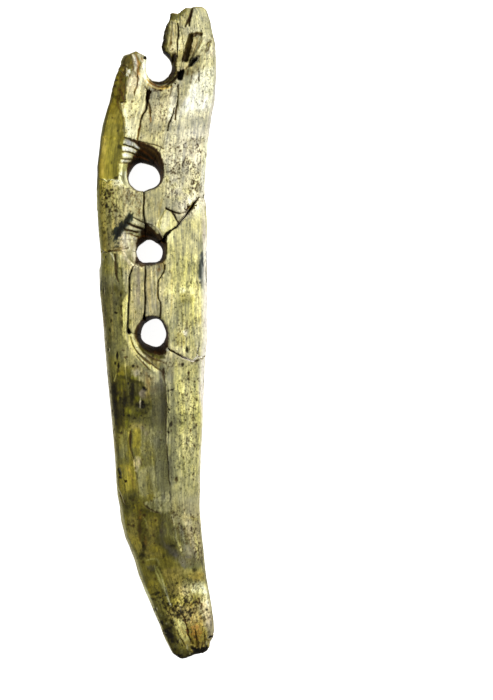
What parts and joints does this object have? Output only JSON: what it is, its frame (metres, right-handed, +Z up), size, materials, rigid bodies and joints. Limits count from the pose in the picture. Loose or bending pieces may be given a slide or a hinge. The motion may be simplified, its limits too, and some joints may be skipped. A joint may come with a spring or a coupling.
{
  "type": "perforated rope-making baton",
  "caption": "Long flat carved ivory baton with a row of flared grooved strand holes, the end one broken open between two prongs, and a tapering handle; used to lay up rope.",
  "frame": {"origin": "centre of the bounding box in plan, on the plane that the baton's back face lies on", "axes": "+Y along the baton from the handle's point to the prongs, +Z up out of the front face, +X to the right seen from the front"},
  "size_m": [0.037, 0.202, 0.0153],
  "materials": {
    "pale_ivory": "satin",
    "yellow_ivory": "satin",
    "olive_ivory": "satin",
    "stained_ivory": "satin"
  },
  "bodies": {
    "root": {"tall_prong": "pale_ivory", "prong_splinter": "olive_ivory", "bridge_piece": "pale_ivory", "short_prong": "olive_ivory", "edge_lamella": "yellow_ivory", "rim_flake": "pale_ivory", "left_sliver": "olive_ivory", "right_sliver": "yellow_ivory", "right_shoulder": "pale_ivory", "upper_back_sheet": "pale_ivory", "lower_back_sheet": "yellow_ivory", "handle": "stained_ivory", "front_right_lamella": "yellow_ivory", "tip_piece": "stained_ivory"}
  },
  "joints": []
}
